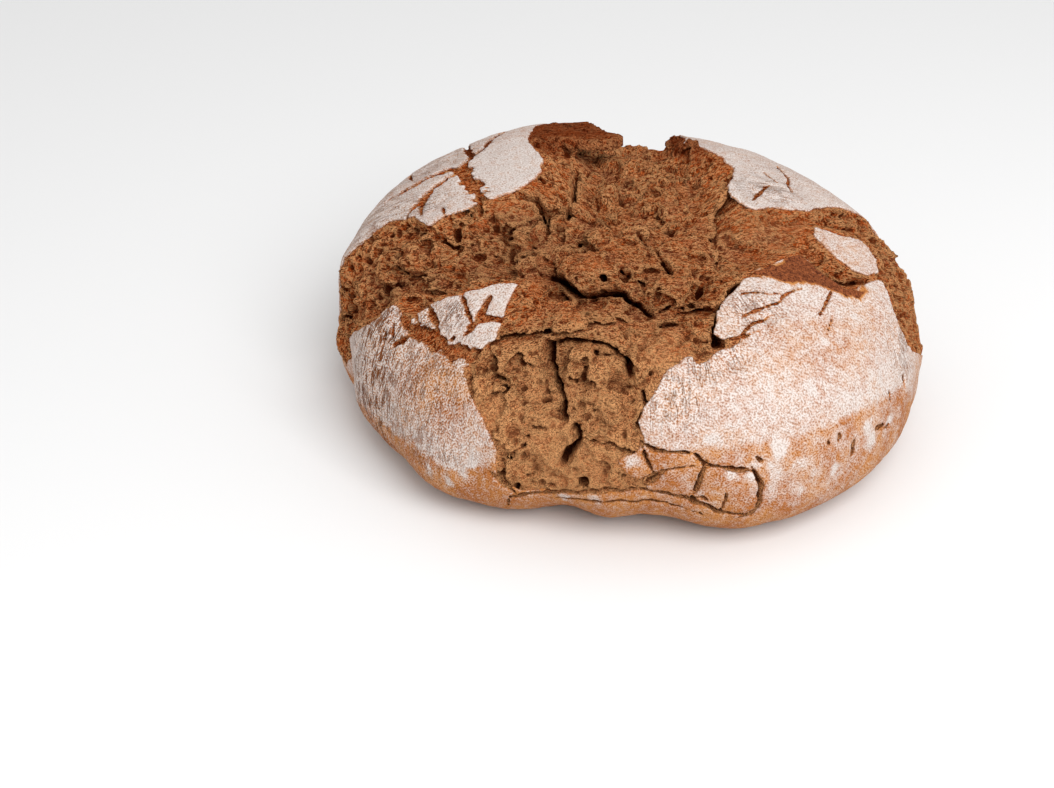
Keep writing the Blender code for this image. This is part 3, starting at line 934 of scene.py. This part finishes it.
def make_crumb(field, axes, maps):
    cells, triangles = surface_of(field, CRUMB_TRIANGLES)
    points = cells * CELL + [a[0] for a in axes]
    place = place_on_skin(points, maps)
    layer = torn_layers(*place.T)[2]
    # cavity and ridge measure how enclosed the surface is round each point; the crumb's look paints shade into enclosed
    # places and highlight onto open ridges from them.
    values = {"place": place, "tear": sample(maps.tear, place[:, 0], place[:, 1]),
              "torn": np.exp(-((layer / 0.14) ** 2)), "calm": calmness(place[:, 0], place[:, 1]),
              "cavity": between_cells(solid_share(field, CAVITY_REACH), cells),
              "ridge": between_cells(solid_share(field, RIDGE_REACH), cells)}
    piece = make_piece("crumb", points, triangles, values)
    hidden = (values["tear"] < -4.0) & (sample(maps.cover, place[:, 0], place[:, 1]) > 4.0)
    add_bake_map(piece, place, np.where(hidden, 1.0, 0.0), 0.5)
    piece.data.materials.append(crumb_material())
    return piece


def make_crust(field, axes, maps):
    cells, triangles = surface_of(field, CRUST_TRIANGLES)
    points = cells * CELL + [a[0] for a in axes]
    place = place_on_skin(points, maps)
    x, y = place[:, 0], place[:, 1]
    around = 120.0 * np.arctan2(x, -y)
    values = {"place": place, "cover": sample(maps.cover, x, y), "flour": sample(maps.flour, x, y),
              "wrinkle": sample(maps.wrinkle, x, y),
              "around": np.stack([around, np.hypot(x, y), place[:, 2]], axis=1)}
    piece = make_piece("crust", points, triangles, values)
    add_bake_map(piece, place, place[:, 2], CRUST_EDGE / 2)
    piece.data.materials.append(crust_material())
    return piece


# --- Materials -----------------------------------------------------------------------------------

class Look:
    """A material, with a short call for each kind of node that the looks below use."""

    def __init__(self, name, roughness, gloss=0.5):
        self.material = bpy.data.materials.new(name)
        self.material.use_nodes = True
        self.nodes = self.material.node_tree.nodes
        self.shader = self.nodes["Principled BSDF"]
        self.shader.inputs["Roughness"].default_value = roughness
        self.shader.inputs["Specular IOR Level"].default_value = gloss

    def feed(self, socket, value):
        if isinstance(value, bpy.types.NodeSocket):
            self.material.node_tree.links.new(value, socket)
        elif isinstance(value, tuple) and len(value) == 3 and socket.type == "RGBA":
            socket.default_value = (*value, 1.0)
        else:
            socket.default_value = value

    def read(self, name, output="Fac"):
        node = self.nodes.new("ShaderNodeAttribute")
        node.attribute_name = name
        return node.outputs[output]

    def scaled(self, place, size, stretch=(1.0, 1.0, 1.0), turn=0.0):
        mapping = self.nodes.new("ShaderNodeMapping")
        mapping.inputs["Scale"].default_value = [1.0 / (size * s) for s in stretch]
        mapping.inputs["Rotation"].default_value = (0.0, 0.0, math.radians(turn))
        self.feed(mapping.inputs["Vector"], place)
        return mapping.outputs["Vector"]

    def noise(self, place, size, detail=2.0, stretch=(1.0, 1.0, 1.0), turn=0.0, distortion=0.0):
        """Noise from 0 to 1 with features of the given size in millimetres."""
        node = self.nodes.new("ShaderNodeTexNoise")
        node.inputs["Scale"].default_value = 1.0
        node.inputs["Detail"].default_value = detail
        node.inputs["Distortion"].default_value = distortion
        self.feed(node.inputs["Vector"], self.scaled(place, size, stretch, turn))
        return node.outputs["Fac"]

    def strands(self, place, size, width, stretch=(1.0, 1.0, 1.0), distortion=0.0):
        """1 on thin wavy strands, which lie about size millimetres apart."""
        field = self.noise(place, size, 3.0, stretch, distortion=distortion)
        return self.span(self.sum("ABSOLUTE", self.sum("SUBTRACT", field, 0.5)), width, 0.0)

    def pits(self, place, size, stretch):
        """1 inside small oval pits of random width, about size millimetres apart."""
        node = self.nodes.new("ShaderNodeTexVoronoi")
        node.inputs["Scale"].default_value = 1.0
        self.feed(node.inputs["Vector"], self.scaled(place, size, stretch))
        width = self.span(node.outputs["Color"], 0.45, 1.0, -0.1, 0.34)
        return self.span(self.sum("SUBTRACT", width, node.outputs["Distance"]), 0.0, 0.09)

    def sum(self, operation, a, b=0.0, c=0.0):
        node = self.nodes.new("ShaderNodeMath")
        node.operation = operation
        for socket, value in zip(node.inputs, (a, b, c)):
            self.feed(socket, value)
        return node.outputs["Value"]

    def span(self, value, low, high, to_low=0.0, to_high=1.0):
        """Maps low..high to to_low..to_high, held at the ends."""
        node = self.nodes.new("ShaderNodeMapRange")
        for name, number in (("Value", value), ("From Min", low), ("From Max", high),
                             ("To Min", to_low), ("To Max", to_high)):
            self.feed(node.inputs[name], number)
        return node.outputs["Result"]

    def mix(self, share, a, b):
        node = self.nodes.new("ShaderNodeMix")
        node.data_type = "RGBA"
        colours = [s for s in node.inputs if s.type == "RGBA"]
        self.feed(node.inputs["Factor"], share)
        self.feed(colours[0], a)
        self.feed(colours[1], b)
        return next(s for s in node.outputs if s.type == "RGBA")

    def finish(self, colour, height, depth):
        """Sets the colour and a bump, whose height of 0 to 1 stands for depth in millimetres."""
        bump = self.nodes.new("ShaderNodeBump")
        bump.inputs["Distance"].default_value = depth * MM
        self.feed(bump.inputs["Height"], height)
        self.feed(self.shader.inputs["Normal"], bump.outputs["Normal"])
        self.feed(self.shader.inputs["Base Color"], colour)
        return self.material


def crumb_material():
    """Torn rye crumb: tan, baked redder by the crust, greyer deep down, with pale torn fibres and painted highlight on
    convex ridges, painted shade in pits, hollows and cavities, and the front arm painted paler and lit.
    """
    look = Look("crumb", 0.9, 0.0)
    place = look.read("place", "Vector")
    apart = look.nodes.new("ShaderNodeSeparateXYZ")
    look.feed(apart.inputs["Vector"], place)
    torn = look.read("torn")
    calm = look.read("calm")
    ridge = look.read("ridge")
    patches = look.noise(place, 11.0)
    spots = look.noise(place, 4.0, 3.0)
    fibre = look.noise(place, 1.3, 4.0, (1.8, 1.0, 2.0), distortion=1.5)
    grain = look.noise(place, 0.7, 3.0)
    strands = look.sum("MAXIMUM", look.strands(place, 5.0, 0.03, (1.6, 1.0, 2.0), 1.0),
                       look.strands(place, 2.4, 0.06, (1.6, 1.0, 2.5), 1.0))
    strands = look.sum("MULTIPLY", strands, look.span(torn, 0.0, 0.8, 0.35, 1.0))
    nests = look.span(look.noise(place, 9.0), 0.42, 0.56)
    pits = look.sum("MULTIPLY", look.pits(place, 2.0, (1.6, 1.0, 1.5)), nests)

    grey = look.sum("ADD", look.span(apart.outputs["Z"], 6.0, 16.0, 0.0, 0.5),
                    look.span(patches, 0.45, 0.58, 0.0, 0.7))
    grey = look.sum("ADD", grey, look.sum("MULTIPLY", calm, 0.6))
    grey = look.sum("SUBTRACT", grey, look.sum("MULTIPLY", torn, 0.6))
    colour = look.mix(look.span(grey, 0.0, 1.0), CRUMB_TAN, CRUMB_GREY)
    baked = look.sum("ADD", look.span(look.read("tear"), 1.0, 14.0, 0.75, 0.0),
                     look.span(spots, 0.42, 0.60, -0.1, 0.5))
    baked = look.sum("ADD", baked, look.span(apart.outputs["Z"], 4.0, 1.0, 0.0, 0.5))
    baked = look.sum("ADD", baked, look.span(torn, 0.3, 1.0, -0.1, 0.35))
    colour = look.mix(look.span(baked, 0.0, 1.0), colour, CRUMB_BAKED)
    # The front arm is painted paler: partly a paler tone of its own, partly painted light where the front faces the
    # lamp.
    front = look.span(apart.outputs["Y"], -84.0, -112.0, 0.0, 0.85)
    front_paler_and_lit = look.sum("MULTIPLY", front, look.span(patches, 0.42, 0.56, 1.0, 0.6))
    colour = look.mix(front_paler_and_lit, colour, CRUMB_FRONT)

    # Pale torn fibres of the crumb, with painted highlight on convex ridges, and more of both on the front arm.
    crest = look.sum("ADD", look.span(ridge, 0.50, 0.36, 0.0, 0.9), strands)
    crest = look.sum("ADD", crest, look.span(fibre, 0.52, 0.58, 0.0, 0.8))
    crest = look.sum("MULTIPLY_ADD", front, 0.35, crest)
    colour = look.mix(look.span(crest, 0.0, 1.2, 0.0, 0.85), colour, CRUMB_LIGHT)
    singed = look.sum("MULTIPLY", look.span(apart.outputs["Y"], 35.0, 60.0, 0.0, 0.8),
                      look.span(apart.outputs["Z"], 9.0, 5.0))
    colour = look.mix(singed, colour, CRUMB_SINGED)
    # Painted shade in small pits, concave spots and the low spots of the grain, with less of it on calm places and the
    # front arm.
    painted_pit_shade = look.sum("ADD", look.span(ridge, 0.53, 0.70, 0.0, 0.9),
                      look.span(fibre, 0.48, 0.38, 0.0, 1.1))
    painted_pit_shade = look.sum("ADD", painted_pit_shade, look.span(grain, 0.46, 0.37, 0.0, 1.1))
    painted_pit_shade = look.sum("ADD", painted_pit_shade, look.sum("MULTIPLY", pits, 1.3))
    less = look.sum("MULTIPLY_ADD", calm, -0.35, look.sum("MULTIPLY_ADD", front, -0.2, 1.0))
    painted_pit_shade = look.sum("MULTIPLY", look.span(painted_pit_shade, 0.0, 1.2, 0.0, 0.9), less)
    colour = look.mix(painted_pit_shade, colour, CRUMB_PAINTED_SHADE)
    # Painted shade in the larger cavities of the crumb, weaker inside the cracks.
    painted_cavity_shade = look.sum("MULTIPLY", look.span(look.read("cavity"), 0.62, 0.82, 0.0, 0.9),
                      look.span(look.read("tear"), -3.0, 1.0, 0.3, 1.0))
    colour = look.mix(painted_cavity_shade, colour, CRUMB_PAINTED_SHADE)
    height = look.sum("ADD", fibre, look.sum("MULTIPLY", grain, 0.8))
    height = look.sum("ADD", height, look.sum("MULTIPLY", strands, 0.25))
    height = look.sum("SUBTRACT", height, look.sum("MULTIPLY", pits, 0.6))
    return look.finish(colour, height, 5.0)


def crust_material():
    """Brown crust under a veil of flour, with fine dry wrinkles that run down from the crown."""
    look = Look("crust", 0.85, 0.1)
    place = look.read("place", "Vector")
    dry = look.read("wrinkle")
    speck = look.noise(place, 0.8, 3.0)
    drift = look.noise(place, 3.5, 4.0)
    blotch = look.noise(place, 16.0, 2.0)
    brown = look.mix(look.span(blotch, 0.4, 0.62), CRUST_BROWN, CRUST_TAN)
    brown = look.mix(look.span(speck, 0.48, 0.36, 0.0, 0.7), brown, CRUST_DARK)
    fibre = look.noise(place, 1.3, 4.0, distortion=1.5)
    bare = look.mix(look.span(fibre, 0.38, 0.62), BARE_DARK, BARE_LIGHT)
    brown = look.mix(look.span(look.read("flour"), -0.1, -0.6), brown, bare)
    spread = look.sum("MULTIPLY_ADD", dry, 0.5, 0.24)
    specks = look.sum("MULTIPLY", look.span(speck, 0.38, 0.62, -1.0, 1.0), spread)
    share = look.sum("ADD", look.read("flour"), specks)
    share = look.sum("ADD", share, look.span(drift, 0.36, 0.64, -0.22, 0.22))
    flour = look.span(share, 0.10, 1.15, 0.0, 0.97)
    around = look.read("around", "Vector")
    lines = look.strands(around, 2.3, 0.055, (1.0, 7.0, 1.0))
    breaks = look.span(look.noise(place, 6.0, 2.0), 0.42, 0.50)
    line = look.sum("MULTIPLY", look.sum("MULTIPLY", lines, breaks), dry)
    line = look.sum("MINIMUM", line, 1.0)
    flour = look.sum("MULTIPLY", flour, look.sum("SUBTRACT", 1.0, line))
    lip = look.sum("ADD", look.read("cover"), look.sum("MULTIPLY", speck, 0.8))
    flour = look.sum("MULTIPLY", flour, look.span(lip, 0.3, 0.8))
    brown = look.mix(look.sum("MULTIPLY", line, 0.9), brown, CRUST_DARK)
    white = look.mix(look.span(speck, 0.40, 0.55), FLOUR_SHADE, FLOUR_WHITE)
    colour = look.mix(flour, brown, white)
    height = look.sum("ADD", look.sum("MULTIPLY", speck, 0.6), look.sum("MULTIPLY", line, -1.0))
    return look.finish(colour, height, 1.2)


def floor_material():
    look = Look("floor", 0.9)
    look.shader.inputs["Base Color"].default_value = FLOOR_COLOUR
    return look.material


# --- Camera, floor and light -----------------------------------------------------------------------

def make_camera():
    data = bpy.data.cameras.new("camera")
    data.lens = 64.9
    data.sensor_width = 36.0
    camera = bpy.data.objects.new("camera", data)
    camera.location = (-0.0405, -0.7139, 0.4432)
    camera.rotation_euler = (math.radians(90 - 32), 0, 0)
    bpy.context.scene.collection.objects.link(camera)
    bpy.context.scene.camera = camera


def make_light(name, energy, size, azimuth, height, distance):
    """A square lamp that shines at the loaf, azimuth degrees to the right of the camera."""
    data = bpy.data.lights.new(name, "AREA")
    data.energy = energy
    data.size = size
    lamp = bpy.data.objects.new(name, data)
    turn = math.radians(azimuth)
    rise = math.radians(height)
    lamp.location = (distance * math.sin(turn) * math.cos(rise),
                     -distance * math.cos(turn) * math.cos(rise), distance * math.sin(rise))
    lamp.rotation_euler = (math.pi / 2 - rise, 0, turn)
    bpy.context.scene.collection.objects.link(lamp)


def make_stage():
    bpy.ops.mesh.primitive_plane_add(size=30.0, location=(0, 0, 0))
    floor = bpy.context.object
    floor.name = "floor"
    floor.data.materials.append(floor_material())
    world = bpy.data.worlds.new("studio")
    world.use_nodes = True
    world.node_tree.nodes["Background"].inputs["Color"].default_value = (1, 1, 1, 1)
    world.node_tree.nodes["Background"].inputs["Strength"].default_value = 0.77
    bpy.context.scene.world = world
    make_light("key", 14.6, 0.9, 24, 46, 1.3)
    bpy.context.scene.view_settings.view_transform = "Standard"


def main():
    maps = SkinMaps()
    axes = grid_axes()
    crumb_field, crust_field = fill_fields(maps, axes)
    carve_pores(crumb_field, axes, maps)
    pieces = [make_crumb(crumb_field, axes, maps), make_crust(crust_field, axes, maps)]
    for piece in pieces:
        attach(piece, "root")
        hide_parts("loaf")
        print(piece.name, len(piece.data.polygons), "triangles")
    make_stage()
    make_camera()


main()
